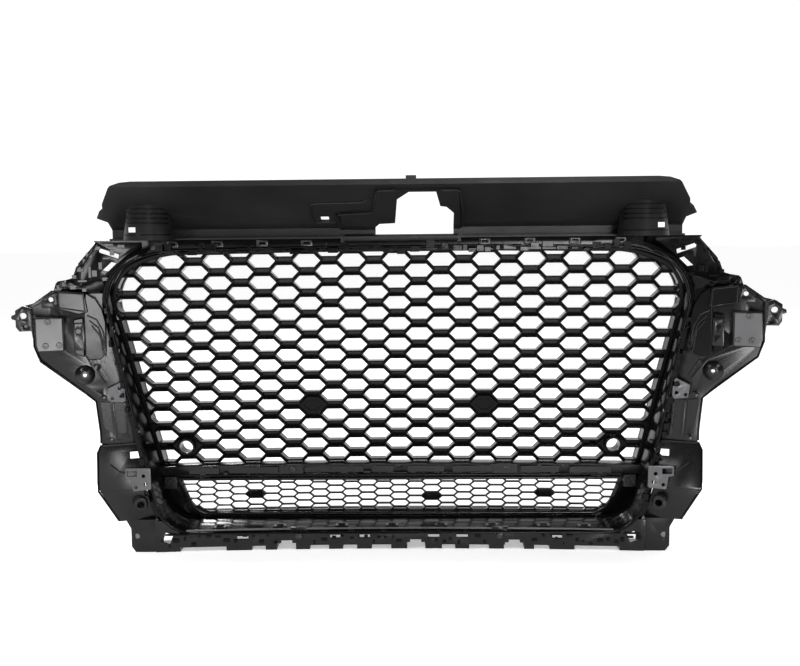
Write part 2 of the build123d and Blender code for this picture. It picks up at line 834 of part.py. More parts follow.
with BuildPart() as end_cup:
    with BuildSketch(wing_plane(cup_depth)) as cup_face:
        Polygon(
            (124.5, 321), (142, 321), (146, 327), (146, 336), (151, 338), (151, 342),
            (146, 344), (146, 349), (136, 355), (124.5, 351), align=None,
        )
    extrude(amount=cup_depth)
    with BuildSketch(wing_plane(cup_depth + 1)):
        with Locations((136.4, 341.6)):
            Circle(cup_hole_radius)
    extrude(amount=cup_depth + 1, mode=Mode.SUBTRACT)
    with BuildSketch(wing_plane(cup_depth)):
        with Locations((133, 327)):
            Circle(3.5)
    extrude(amount=cup_depth - 3, mode=Mode.SUBTRACT)
save_pair(end_cup.part, "end_cup")

with BuildPart() as corner_link:
    with BuildSketch(wing_plane(4)):
        Polygon(
            (-20, 437), (40, 438), (52, 424), (64, 410), (70, 391), (80, 388), (92, 386),
            (96, 377), (90, 374.5), (58, 368.5), (20, 368), (-20, 400), align=None,
        )
        Polygon((37, 430), (36, 424), (12, 415.5), (11, 421), align=None, mode=Mode.SUBTRACT)
        Polygon((21, 411), (15, 409), (31, 393), (36, 397), align=None, mode=Mode.SUBTRACT)
    extrude(amount=4)
    with Locations(wing_plane(4)):
        with Locations((84, 381)):
            Cylinder(6, 8, align=(Align.CENTER, Align.CENTER, Align.MAX))
            Hole(lamp_hole_radius)
    with BuildSketch(wing_plane(14)):
        with BuildLine():
            Polyline((40, 437), (60, 404))
            offset(amount=rib_width / 2)
        make_face()
        with BuildLine():
            Polyline((36, 386), (62, 378))
            offset(amount=rib_width / 2)
        make_face()
    extrude(amount=12)
    add(flange_core, mode=Mode.SUBTRACT)
save_pair(corner_link.part, "corner_link")

wing_normal = wing_plane().z_dir
profile_plane = Plane(
    origin=wing_plane().origin,
    x_dir=wing_normal,
    z_dir=wing_normal.cross(Vector(0, 0, 1)),
)
with BuildPart() as folded_sheet:
    with BuildSketch(profile_plane.offset(-100)):
        Polygon(
            (0, deflector_top_z),
            (-deflector_fold, deflector_fold_z),
            (-4, deflector_bottom_z),
            (panel_thickness - 4, deflector_bottom_z),
            (panel_thickness - deflector_fold, deflector_fold_z),
            (panel_thickness, deflector_top_z),
            align=None,
        )
    extrude(amount=200)

with BuildPart() as deflector:
    with BuildSketch(wing_plane(50)):
        Polygon(
            (-50, deflector_top_z), (44, deflector_top_z), (49, 147), (50, 98),
            (24, deflector_bottom_z), (-50, deflector_bottom_z), align=None,
        )
        with Locations((-3, 140.5)):
            Rectangle(20, 9, mode=Mode.SUBTRACT)
    extrude(amount=100)
    add(folded_sheet.part, mode=Mode.INTERSECT)
    add(flange_core, mode=Mode.SUBTRACT)
save_pair(deflector.part, "deflector")

with BuildPart() as tube_boss:
    with BuildSketch(wing_plane(tube_end_setback)):
        with Locations((-4, 74)):
            Circle(tube_radius)
            Circle(tube_bore_radius, mode=Mode.SUBTRACT)
    extrude(amount=tube_length)
    add(folded_sheet.part, mode=Mode.SUBTRACT)
    add(flange_core, mode=Mode.SUBTRACT)
save_pair(tube_boss.part, "tube_boss")

# x from the wing's root, outward to the left
foot_outline = [(-16, 47), (-9, 34), (-9, 8), (-3, 0), (25, 0), (25, 47)]
with BuildPart() as foot_bracket:
    with BuildSketch(Plane.XZ):
        with Locations((-wing_root_x, 0)):
            Polygon(*foot_outline, align=None)
    extrude(amount=-foot_box_depth)
    with BuildSketch(Plane.XZ.offset(-foot_box_wall)):
        with Locations((-wing_root_x, 0)):
            Polygon(*foot_outline, align=None)
        offset(amount=-foot_box_wall, kind=Kind.INTERSECTION)
    extrude(amount=-foot_box_depth, mode=Mode.SUBTRACT)
    with BuildSketch(Plane.XZ):
        with Locations((-wing_root_x - 5 + foot_hole_radius, 23)):
            Circle(foot_hole_radius)
    extrude(amount=-foot_box_wall, mode=Mode.SUBTRACT)
save_pair(foot_bracket.part, "foot_bracket")

# flat brackets that screw to the frame's flange
upper_plate_y = carrier_y(wing_root_x + 12, 247) + flange_setback
with BuildPart() as upper_plate:
    with BuildSketch(Plane.XZ.offset(-upper_plate_y)) as upper_plate_face:
        with Locations((-wing_root_x, 0)):
            Polygon(
                (-29, 237), (-9, 247), (-5.5, 240), (-4.5, 221), (-8, 218), (-26, 220),
                align=None,
            )
        fillet(upper_plate_face.vertices(), radius=2)
        with Locations((-wing_root_x, 0)):
            with Locations((-12.5, 238), (-10.5, 226.5), (-23, 223.5)):
                Circle(plate_hole_radius, mode=Mode.SUBTRACT)
    extrude(amount=bracket_thickness)
save_pair(upper_plate.part, "upper_plate")

lower_plate_y = wing_root_y - deflector_fold * cos(radians(wing_sweep)) - 6 * clearance
with BuildPart() as lower_plate:
    with BuildSketch(Plane.XZ.offset(-lower_plate_y)) as lower_plate_face:
        with Locations((-wing_root_x, 0)):
            Polygon(
                (-9, 125), (26, 125), (26, 95), (1, 92), (-2, 110), (-9, 111),
                align=None,
            )
        fillet(lower_plate_face.vertices(), radius=2)
        with Locations((-wing_root_x, 0)):
            with Locations((0, 117.5)):
                Rectangle(14, 8, mode=Mode.SUBTRACT)
            with Locations((16, 114), (18.5, 102.5), (5, 98.5)):
                Circle(plate_hole_radius, mode=Mode.SUBTRACT)
    extrude(amount=bracket_thickness)
save_pair(lower_plate.part, "lower_plate")

# ---------------------------------------------------------------- frame screws
with BuildPart() as frame_screws:
    with Locations(*tab_seats, *pad_seats):
        Cylinder(
            screw_head_radius, screw_head_height,
            align=(Align.CENTER, Align.CENTER, Align.MIN),
        )
        Cylinder(
            screw_shank_radius, screw_shank_length,
            align=(Align.CENTER, Align.CENTER, Align.MAX),
        )
save(frame_screws.part, "frame_screws")

print(len(parts_made), "pieces written")
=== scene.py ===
"""Looks of a car's black front grille, seen from behind as it stands on its clip strip."""

from math import atan2, cos, hypot, pi, radians, sin, tan
from random import Random

import bmesh
import bpy
from mathutils import Matrix, Vector


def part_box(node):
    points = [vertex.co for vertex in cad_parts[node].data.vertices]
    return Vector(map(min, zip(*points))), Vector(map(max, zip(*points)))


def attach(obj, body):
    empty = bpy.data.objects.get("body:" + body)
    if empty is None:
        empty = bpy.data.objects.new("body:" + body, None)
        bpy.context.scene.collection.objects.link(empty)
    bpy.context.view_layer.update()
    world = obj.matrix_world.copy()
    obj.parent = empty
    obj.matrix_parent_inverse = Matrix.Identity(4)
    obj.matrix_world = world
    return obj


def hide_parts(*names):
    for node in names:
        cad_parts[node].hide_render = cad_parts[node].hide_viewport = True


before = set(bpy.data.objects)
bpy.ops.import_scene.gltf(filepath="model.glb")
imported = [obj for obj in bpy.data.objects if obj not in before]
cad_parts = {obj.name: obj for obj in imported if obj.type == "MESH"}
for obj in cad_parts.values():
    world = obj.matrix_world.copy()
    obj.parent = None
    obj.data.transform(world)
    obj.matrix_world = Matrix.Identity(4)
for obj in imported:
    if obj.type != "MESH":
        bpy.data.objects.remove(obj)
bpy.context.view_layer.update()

MM = 0.001
MESH_LEAN = tan(radians(12.5))
CARRIER_LEAN = tan(radians(3.0))
BOW_RADIUS = 4.33
BOW = 2 * BOW_RADIUS
MESH_DEPTH = 16 * MM
MESH_LOW, MESH_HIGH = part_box("main_mesh")
CARRIER_LOW, CARRIER_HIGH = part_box("carrier_frame")
COVER_LOW, COVER_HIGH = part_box("top_cover")
STRIP_LOW, STRIP_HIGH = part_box("clip_strip")
INSERT_LOW, INSERT_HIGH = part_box("lower_mesh")
MESH_FOOT_Y = MESH_HIGH.y - MESH_DEPTH + MESH_LOW.z * MESH_LEAN
CARRIER_FOOT_Y = 12 * MM
FLAT_ANGLE = radians(0.6)
WELD_REACH = 0.01 * MM
CUT_REACH = 1e-6


def mesh_y(x, z):
    """Rear face of the honeycomb, which is bowed and leans back."""
    return MESH_FOOT_Y - z * MESH_LEAN - x * x / BOW


def carrier_y(x, z):
    """Rear edge of the carrier frame, which is bowed and leans back a little."""
    return CARRIER_FOOT_Y - z * CARRIER_LEAN - x * x / BOW


# ---------------------------------------------------------------- shader helpers
class Value:
    """A shader socket that takes part in sums; each sum adds its Math node."""

    def __init__(self, shader, socket):
        self.shader = shader
        self.socket = socket

    def math(self, operation, first, second):
        return self.shader.node(
            "ShaderNodeMath", {"operation": operation}, {0: first, 1: second}
        )

    def __add__(self, other):
        return self.math("ADD", self, other)

    __radd__ = __add__

    def __mul__(self, other):
        return self.math("MULTIPLY", self, other)

    __rmul__ = __mul__


class Finish:
    """One material: its node tree, and the method that adds a node to it."""

    def __init__(self, name):
        self.material = bpy.data.materials.new(name)
        self.material.use_nodes = True
        self.tree = self.material.node_tree
        self.tree.nodes.clear()

    def node(self, kind, settings=None, sockets=None, output=0):
        made = self.tree.nodes.new(kind)
        for key, value in (settings or {}).items():
            setattr(made, key, value)
        for key, value in (sockets or {}).items():
            if isinstance(value, Value):
                self.tree.links.new(value.socket, made.inputs[key])
            else:
                made.inputs[key].default_value = value
        return Value(self, made.outputs[output]) if made.outputs else made

    def place(self):
        return self.node("ShaderNodeTexCoord", output=3)

    def noise(self, scale, detail=3.0, roughness=0.55):
        sockets = {"Vector": self.place(), "Scale": scale, "Detail": detail, "Roughness": roughness}
        return self.node("ShaderNodeTexNoise", None, sockets)

    def ramp(self, factor, low, high, dark=0.0, light=1.0):
        """Spreads the part of a noise between low and high over dark to light."""
        sockets = {"Value": factor, 1: low, 2: high, 3: dark, 4: light}
        return self.node("ShaderNodeMapRange", None, sockets)

    def blend(self, factor, first, second):
        sockets = {0: factor, 6: first, 7: second}
        return self.node("ShaderNodeMix", {"data_type": "RGBA"}, sockets, output=2)

    def bump(self, height, strength, distance, under=None):
        sockets = {"Strength": strength, "Distance": distance, "Height": height}
        if under is not None:
            sockets["Normal"] = under
        return self.node("ShaderNodeBump", None, sockets)

    def surface(self, sockets):
        shader = self.node("ShaderNodeBsdfPrincipled", None, sockets)
        self.node("ShaderNodeOutputMaterial", None, {"Surface": shader})
        return self.material


def grey(level, blue=1.0):
    return (level, level, level * blue, 1.0)


def moulded(name, dark, light, smooth, rough, wave, grain, grain_size, shine):
    """Moulded plastic: mottled tone, uneven gloss, slow waves and a fine skin."""
    finish = Finish(name)
    tone = finish.ramp(finish.noise(9.0), 0.3, 0.7)
    dust = finish.ramp(finish.noise(70.0, 6.0, 0.7), 0.52, 0.8)
    color = finish.blend(tone, grey(dark, 1.04), grey(light, 1.06))
    gloss = finish.ramp(finish.noise(14.0, 4.0), 0.3, 0.7, smooth, rough) + dust * 0.08
    waves = finish.bump(finish.noise(38.0, 2.0), wave, 0.0015)
    skin = finish.bump(finish.noise(grain_size, 4.0, 0.6), grain, 0.0003, waves)
    return finish.surface({
        "Base Color": color,
        "Roughness": gloss,
        "Normal": skin,
        "Specular IOR Level": shine,
    })


def gloss_black():
    return moulded("gloss_black", 0.0015, 0.003, 0.12, 0.20, 0.10, 0.06, 900.0, 0.12)


def satin_black():
    return moulded("satin_black", 0.0025, 0.006, 0.20, 0.30, 0.08, 0.14, 1300.0, 0.28)


def matt_black():
    return moulded("matt_black", 0.008, 0.015, 0.30, 0.42, 0.10, 0.30, 1900.0, 0.16)


def bright_grey():
    return moulded("bright_grey", 0.05, 0.10, 0.26, 0.40, 0.12, 0.12, 1100.0, 0.45)


def screw_black():
    finish = Finish("screw_black")
    wear = finish.ramp(finish.noise(260.0, 5.0, 0.7), 0.35, 0.75)
    return finish.surface({
        "Base Color": finish.blend(wear, grey(0.03), grey(0.09)),
        "Roughness": finish.ramp(finish.noise(180.0), 0.3, 0.7, 0.28, 0.45),
        "Metallic": 0.9,
        "Normal": finish.bump(finish.noise(1500.0), 0.15, 0.0002),
    })


FINISHES = {
    "gloss_black": gloss_black(),
    "satin_black": satin_black(),
    "matt_black": matt_black(),
    "bright_grey": bright_grey(),
    "screw_black": screw_black(),
}


# ---------------------------------------------------------------- mesh helpers
def finish_piece(mesh_data, name, finish, smooth_angle=35.0, second=None):
    """Turns a bmesh into a piece of the object, with its finish and its smooth faces."""
    bmesh.ops.recalc_face_normals(mesh_data, faces=mesh_data.faces)
    mesh = bpy.data.meshes.new(name)
    mesh_data.to_mesh(mesh)
    mesh_data.free()
    mesh.shade_smooth()
    mesh.set_sharp_from_angle(angle=radians(smooth_angle))
    mesh.materials.append(FINISHES[finish])
    if second:
        mesh.materials.append(FINISHES[second])
    piece = bpy.data.objects.new(name, mesh)
    bpy.context.scene.collection.objects.link(piece)
    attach(piece, "root")
    return piece


def round_edges(piece, width, segments=2, angle=35.0):
    bevel = piece.modifiers.new("rounded_edges", "BEVEL")
    bevel.width = width
    bevel.segments = segments
    bevel.limit_method = "ANGLE"
    bevel.angle_limit = radians(angle)
    bevel.use_clamp_overlap = True
    bevel.harden_normals = True


def flat_face(mesh_data, points):
    """A face in the x-z plane from a few corners."""
    return mesh_data.faces.new([mesh_data.verts.new((x, 0, z)) for x, z in points])


def lay_on(mesh_data, surface_y):
    """Bends flat work, whose y is its depth, on to a bowed and leaning face."""
    for vert in mesh_data.verts:
        vert.co.y += surface_y(vert.co.x, vert.co.z)


# ---------------------------------------------------------------- CAD nodes that are shown
NODE_FINISH = {
    "main_mesh": "gloss_black",
    "carrier_frame": "gloss_black",
    "crossbar": "satin_black",
    "lower_mesh": "satin_black",
    "lower_mesh_frame": "satin_black",
    "surround_trim": "gloss_black",
    "clip_strip": "satin_black",
    "top_cover": "matt_black",
    "top_clips": "satin_black",
    "frame_screws": "screw_black",
}
PAIR_FINISH = {
    "sensor_holder": "gloss_black",
    "arm_panel": "satin_black",
    "headlight_bracket": "satin_black",
    "strip_plate": "satin_black",
    "arm_plate": "satin_black",
    "duct": "matt_black",
    "end_cup": "satin_black",
    "corner_link": "gloss_black",
    "deflector": "satin_black",
    "tube_boss": "matt_black",
    "foot_bracket": "matt_black",
    "upper_plate": "bright_grey",
    "lower_plate": "bright_grey",
}
for pair_name, pair_finish in PAIR_FINISH.items():
    for side in ("left", "right"):
        NODE_FINISH[f"{side}_{pair_name}"] = pair_finish


def dress_cad_nodes():
    """Gives every CAD node its finish, welded faces and small rounded edges."""
    for name, finish in NODE_FINISH.items():
        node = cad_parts[name]
        node.data.materials.clear()
        node.data.materials.append(FINISHES[finish])
        node.data.shade_smooth()
        weld = node.modifiers.new("welded", "WELD")
        weld.merge_threshold = 0.00001
        flat = node.modifiers.new("flat_faces", "DECIMATE")
        flat.decimate_type = "DISSOLVE"
        flat.angle_limit = FLAT_ANGLE
        round_edges(node, 0.5 * MM)


# ---------------------------------------------------------------- main honeycomb
CELL_PITCH = 30.8 * MM
ROW_PITCH = 14.93 * MM
FIRST_ROW_Z = 290.8 * MM
CELL_HALF = (19.0 * MM, 10.5 * MM, 8.85 * MM)
TILE_HALF = (22.55 * MM, 8.25 * MM, 14.93 * MM)
BLANK_SITES = ((-4, 6), (4, 6))
SENSOR_SITES = ((-10, 10), (10, 10))
SENSOR_BORE = 9.5 * MM
CHANNEL_DEPTH = 8.0 * MM
CHANNEL_WALL = 2.0 * MM


def hexagon(half_width, half_flat, half_height):
    return [
        (-half_width, 0), (-half_flat, half_height), (half_flat, half_height),
        (half_width, 0), (half_flat, -half_height), (-half_flat, -half_height),
    ]


def grown(half, margin):
    """A hexagon's half sizes with every side moved outward by a margin."""
    half_width, half_flat, half_height = half
    lean = atan2(half_height, half_width - half_flat)
    wide = half_width + margin / sin(lean)
    tall = half_height + margin
    return wide, wide - tall / tan(lean), tall


def hexagon_points(half, per_side=1):
    """Points round a hexagon, clockwise from its left corner."""
    corners = hexagon(*half)
    points = []
    for index, (x, z) in enumerate(corners):
        ahead_x, ahead_z = corners[(index + 1) % 6]
        for step in range(per_side):
            share = step / per_side
            points.append((x + (ahead_x - x) * share, z + (ahead_z - z) * share))
    return points


def circle_points(radius, count, x=0.0, z=0.0):
    """Points round a circle, clockwise from its left side."""
    turns = [pi - 2 * pi * step / count for step in range(count)]
    return [(x + radius * cos(turn), z + radius * sin(turn)) for turn in turns]


def stack(mesh_data, rings, close=False):
    """Draws a skin through outlines of equal count, each given as points and a depth."""
    points, depth = rings[0]
    first = [mesh_data.verts.new((x, depth, z)) for x, z in points]
    count = len(first)
    edges = [mesh_data.edges.new((first[i], first[(i + 1) % count])) for i in range(count)]
    verts = first
    for points, depth in rings[1:]:
        made = bmesh.ops.extrude_edge_only(mesh_data, edges=edges)["geom"]
        fresh = {item for item in made if isinstance(item, bmesh.types.BMVert)}
        verts = [
            next(e.other_vert(vert) for e in vert.link_edges if e.other_vert(vert) in fresh)
            for vert in verts
        ]
        for vert, (x, z) in zip(verts, points):
            vert.co = (x, depth, z)
        edges = [mesh_data.edges.get((verts[i], verts[(i + 1) % count])) for i in range(count)]
    if close:
        mesh_data.faces.new(verts)
    return first, verts


def open_tile():
    """One cell: its hole, the thin wall round it and its share of the rear channel."""
    tile = bmesh.new()
    edge = 0.35 * MM
    wall = hexagon_points(grown(CELL_HALF, CHANNEL_WALL))
    share = hexagon_points(TILE_HALF)
    hole = hexagon_points(CELL_HALF)
    stack(tile, [
        (share, MESH_DEPTH),
        (hexagon_points(grown(CELL_HALF, edge)), MESH_DEPTH),
        (hole, MESH_DEPTH - edge),
        (hole, edge),
        (hexagon_points(grown(CELL_HALF, edge)), 0),
        (hexagon_points(grown(CELL_HALF, CHANNEL_WALL - edge)), 0),
        (wall, edge),
        (wall, CHANNEL_DEPTH),
        (share, CHANNEL_DEPTH),
    ])
    return tile


def plate_tile(bore):
    """A cell that is closed by a plate; with a bore, the plate holds a sensor."""
    tile = bmesh.new()
    edge = 0.35 * MM
    plate = (20.6 * MM, 8.0 * MM, 12.4 * MM)
    sides = 4 if bore else 1
    share = hexagon_points(TILE_HALF, sides)
    rings = [
        (share, CHANNEL_DEPTH),
        (hexagon_points(plate, sides), CHANNEL_DEPTH),
        (hexagon_points(plate, sides), edge),
        (hexagon_points(grown(plate, -edge), sides), 0),
    ]
    if bore:
        bore_loop = circle_points(bore, 24)
        rings += [
            (circle_points(bore + edge, 24), 0), (bore_loop, edge), (bore_loop, MESH_DEPTH),
            (share, MESH_DEPTH),
        ]
        stack(tile, rings)
        return tile
    rings += [
        (hexagon_points((14.0 * MM, 4.4 * MM, 8.0 * MM)), 0),
        (hexagon_points((13.5 * MM, 4.2 * MM, 7.6 * MM)), 1.2 * MM),
    ]
    stack(tile, rings, close=True)
    flat_face(tile, share)
    bmesh.ops.translate(tile, verts=tile.verts[-6:], vec=(0, MESH_DEPTH, 0))
    return tile


def mesh_of(tile):
    mesh = bpy.data.meshes.new("tile")
    tile.to_mesh(mesh)
    tile.free()
    return mesh


# corners of the frame's opening, each with the length that its fillet takes
OPENING_CORNERS = (
    (-330 * MM, 419 * MM, 33 * MM), (0, 423 * MM, 120 * MM), (330 * MM, 419 * MM, 33 * MM),
    (391.5 * MM, 384 * MM, 36 * MM), (327.9 * MM, 34 * MM, 38 * MM),
    (-327.9 * MM, 34 * MM, 38 * MM), (-391.5 * MM, 384 * MM, 36 * MM),
)


def opening_loop(margin, steps=8):
    """Rounded outline of the opening, grown by a margin, as points in the x-z plane."""
    work = bmesh.new()
    face = flat_face(work, [(x, z) for x, z, _ in OPENING_CORNERS])
    verts = list(face.verts)
    for vert, (_, _, fillet) in zip(verts, OPENING_CORNERS):
        bmesh.ops.bevel(
            work, geom=[vert], offset=fillet, affect="VERTICES", segments=steps, profile=0.5,
            material=-1, offset_type="OFFSET",
        )
    face = work.faces[:][0]
    loop = [(v.co.x, v.co.z) for v in face.verts]
    work.free()
    area = sum(
        loop[i][0] * loop[(i + 1) % len(loop)][1] - loop[(i + 1) % len(loop)][0] * loop[i][1]
        for i in range(len(loop))
    )
    if area < 0:
        loop.reverse()
    return grow_loop(loop, margin)


def grow_loop(loop, margin):
    """Moves each point of a counter-clockwise loop outward along its mitre."""
    grown_loop = []
    for index, (x, z) in enumerate(loop):
        before = Vector((x - loop[index - 1][0], z - loop[index - 1][1])).normalized()
        ahead = loop[(index + 1) % len(loop)]
        after = Vector((ahead[0] - x, ahead[1] - z)).normalized()
        out = Vector((before.y + after.y, -before.x - after.x)).normalized()
        share = out.dot(Vector((after.y, -after.x)))
        grown_loop.append((x + out.x * margin / share, z + out.y * margin / share))
    return grown_loop


def clip_to(mesh_data, loop):
    """Cuts away what lies outside a convex outline; the cuts end inside a solid rim."""
    for index, (x, z) in enumerate(loop):
        ahead = loop[(index + 1) % len(loop)]
        out = Vector((ahead[1] - z, 0, x - ahead[0])).normalized()
        bmesh.ops.bisect_plane(
            mesh_data, geom=mesh_data.verts[:] + mesh_data.edges[:] + mesh_data.faces[:],
            dist=CUT_REACH, plane_co=(x, 0, z), plane_no=out, clear_outer=True,
        )


def band_of(mesh_data, inner, outer, near, far, chamfer=0.4 * MM):
    """A closed band between two outlines and two depths, with eased edges."""
    stack(mesh_data, [
        (inner, near + chamfer),
        (grow_loop(inner, chamfer), near),
        (grow_loop(outer, -chamfer), near),
        (outer, near + chamfer),
        (outer, far - chamfer),
        (grow_loop(outer, -chamfer), far),
        (grow_loop(inner, chamfer), far),
        (inner, far - chamfer),
        (inner, near + chamfer),
    ])
    bmesh.ops.remove_doubles(mesh_data, verts=mesh_data.verts, dist=WELD_REACH)


def honeycomb():
    """The main mesh: walled cells that share rear-open channels, inside a rim."""
    lattice = bmesh.new()
    tiles = {
        "open": mesh_of(open_tile()),
        "blank": mesh_of(plate_tile(None)),
        "sensor": mesh_of(plate_tile(SENSOR_BORE)),
    }
    for column in range(-13, 14):
        for row in range(-9, 13):
            if (column + row) % 2:
                continue
            kind = "open"
            if (column, row) in BLANK_SITES:
                kind = "blank"
            if (column, row) in SENSOR_SITES:
                kind = "sensor"
            known = len(lattice.verts)
            lattice.from_mesh(tiles[kind])
            lattice.verts.ensure_lookup_table()
            place = Vector((column * CELL_PITCH, 0, FIRST_ROW_Z - row * ROW_PITCH))
            bmesh.ops.translate(lattice, verts=lattice.verts[known:], vec=place)
    bmesh.ops.remove_doubles(lattice, verts=lattice.verts, dist=0.02 * MM)
    outline = opening_loop(2 * MM)
    clip_to(lattice, outline)
    bmesh.ops.bisect_plane(
        lattice, geom=lattice.verts[:] + lattice.edges[:] + lattice.faces[:], dist=CUT_REACH,
        plane_co=(0, 0, MESH_LOW.z + 1 * MM), plane_no=(0, 0, -1), clear_outer=True,
    )
    for face in lattice.faces:
        if all(abs(vert.co.y - CHANNEL_DEPTH) < 0.01 * MM for vert in face.verts):
            face.material_index = 1
    lay_on(lattice, mesh_y)
    piece = finish_piece(lattice, "honeycomb", "gloss_black", 25.0, "satin_black")
    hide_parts("main_mesh")
    for mesh in tiles.values():
        bpy.data.meshes.remove(mesh)


def honeycomb_rim():
    """Edge band of the main mesh, against the carrier frame's wall."""
    band = bmesh.new()
    loop = opening_loop(0.0)
    band_of(band, loop, grow_loop(loop, 5 * MM), 0, MESH_DEPTH)
    bmesh.ops.bisect_plane(
        band, geom=band.verts[:] + band.edges[:] + band.faces[:], dist=CUT_REACH,
        plane_co=(0, 0, MESH_LOW.z), plane_no=(0, 0, -1), clear_outer=True,
    )
    bmesh.ops.holes_fill(band, edges=[e for e in band.edges if e.is_boundary], sides=0)
    lay_on(band, mesh_y)
    finish_piece(band, "honeycomb_rim", "gloss_black")


# ---------------------------------------------------------------- small fittings
def block(mesh_data, low, high):
    """A box between two corners."""
    middle = [(a + b) / 2 for a, b in zip(low, high)]
    spans = [abs(b - a) for a, b in zip(low, high)]
    place = Matrix.Translation(middle) @ Matrix.Diagonal((*spans, 1))
    return bmesh.ops.create_cube(mesh_data, size=1.0, matrix=place)["verts"]


def prism(mesh_data, points, near, far):
    """A flat outline in the x-z plane, given its thickness along y."""
    face = mesh_data.faces.new([mesh_data.verts.new((x, near, z)) for x, z in points])
    made = bmesh.ops.extrude_face_region(mesh_data, geom=[face])["geom"]
    verts = [item for item in made if isinstance(item, bmesh.types.BMVert)]
    bmesh.ops.translate(mesh_data, verts=verts, vec=(0, far - near, 0))


def tube(mesh_data, x, z, rings, count=20):
    """A turned piece whose axis is y; rings are radius and depth, out and back in."""
    stack(mesh_data, [(circle_points(radius, count, x, z), depth) for radius, depth in rings])


def bead(mesh_data, path, radius, sides=8):
    """A round bead along a path of places, closed at both ends."""
    rings = []
    for index, place in enumerate(path):
        before = path[max(index - 1, 0)]
        ahead = path[min(index + 1, len(path) - 1)]
        along = (Vector(ahead) - Vector(before)).normalized()
        turn = along.to_track_quat("Z", "Y").to_matrix()
        corners = [2 * pi * k / sides for k in range(sides)]
        rings.append([
            mesh_data.verts.new(
                Vector(place) + turn @ Vector((radius * cos(corner), radius * sin(corner), 0))
            )
            for corner in corners
        ])
    for first, second in zip(rings, rings[1:]):
        for k in range(sides):
            ahead = (k + 1) % sides
            mesh_data.faces.new((first[k], first[ahead], second[ahead], second[k]))
    mesh_data.faces.new(rings[0])
    mesh_data.faces.new(rings[-1])


def frame_bead():
    """Glossy bead round the rear edge of the carrier frame."""
    ring = bmesh.new()
    loop = opening_loop(7 * MM)
    places = [(x, carrier_y(x, z) - 0.6 * MM, z) for x, z in loop]
    bead(ring, places + places[:1], 1.7 * MM)
    finish_piece(ring, "frame_bead", "gloss_black", 60.0)


def rail_clips():
    """Clips, hooks and ribs along the top rail, under the cover."""
    pick = Random(5)
    work = bmesh.new()
    rail_z = CARRIER_HIGH.z - 20 * MM
    x = -322 * MM
    while x < 322 * MM:
        width = pick.uniform(4, 15) * MM
        low = rail_z + pick.uniform(-2, 7) * MM
        tall = pick.uniform(3, 11) * MM
        proud = pick.uniform(2, 9) * MM
        rear = carrier_y(x, low)
        top = min(low + tall, CARRIER_HIGH.z - 1 * MM)
        block(work, (x, rear - proud, low), (x + width, rear + 1 * MM, top))
        if pick.random() < 0.5:
            block(work, (x + width * 0.2, rear - proud - 2 * MM, low + 1 * MM),
                  (x + width * 0.45, rear, low + 2.6 * MM))
        if pick.random() < 0.6:
            block(work, (x, rear - 1.5 * MM, rail_z + 3 * MM),
                  (x + width * 1.3, rear + 5 * MM, rail_z + pick.uniform(5, 7) * MM))
        x += width + pick.uniform(1.5, 10) * MM
    piece = finish_piece(work, "rail_clips", "gloss_black")
    round_edges(piece, 0.4 * MM)


def latch_roller():
    """Round bar with two end blocks, under the latch opening."""
    work = bmesh.new()
    z = COVER_LOW.z + 0.5 * MM
    bead(work, [(x * MM, -14 * MM, z) for x in (-70, -40, 0, 40, 84)], 4.5 * MM, 16)
    block(work, (-74 * MM, -16 * MM, z - 6 * MM), (-69 * MM, -8 * MM, z + 5 * MM))
    block(work, (83 * MM, -16 * MM, z - 6 * MM), (88 * MM, -8 * MM, z + 5 * MM))
    finish_piece(work, "latch_roller", "matt_black", 40.0)


def cover_shell():
    """The top cover, with its rear corners rounded off."""
    shell = bmesh.new()
    shell.from_mesh(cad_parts["top_cover"].data)
    bmesh.ops.remove_doubles(shell, verts=shell.verts, dist=WELD_REACH)
    bmesh.ops.dissolve_limit(
        shell, angle_limit=FLAT_ANGLE, verts=shell.verts, edges=shell.edges
    )
    lip = COVER_HIGH.z - 4 * MM
    corner = [(326, 0), (340, -1.2), (352, -5), (361, -13)]
    for side in (-1, 1):
        for (x0, z0), (x1, z1) in zip(corner, corner[1:]):
            out = Vector((side * (z0 - z1), 0, x1 - x0)).normalized()
            bmesh.ops.bisect_plane(
                shell, geom=shell.verts[:] + shell.edges[:] + shell.faces[:], dist=CUT_REACH,
                plane_co=(side * x0 * MM, 0, lip + z0 * MM), plane_no=out, clear_outer=True,
            )
            bmesh.ops.holes_fill(shell, edges=[e for e in shell.edges if e.is_boundary], sides=0)
    piece = finish_piece(shell, "cover_shell", "matt_black")
    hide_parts("top_cover")
    round_edges(piece, 0.7 * MM, 3)


SLOPE_RUN, SLOPE_RISE = 104.3, 52.0


def slope_place(x, up, proud):
    """A place on the cover's sloping underside: up the slope, and proud of it."""
    foot = Vector((0, -8.5 * MM, COVER_LOW.z + 14 * MM))
    rise = Vector((0, -SLOPE_RUN, SLOPE_RISE)).normalized()
    out = Vector((0, -SLOPE_RISE, -SLOPE_RUN)).normalized()
    return foot + rise * up + out * proud + Vector((x, 0, 0))


def slope_bead(mesh_data, route, proud, radius):
    """A bead along a route of widths and heights on the cover's slope."""
    bead(mesh_data, [slope_place(x * MM, up * MM, proud) for x, up in route], radius)


PLATEAU_PROUD = 4 * MM
WALL_PROUD = 0.6 * MM


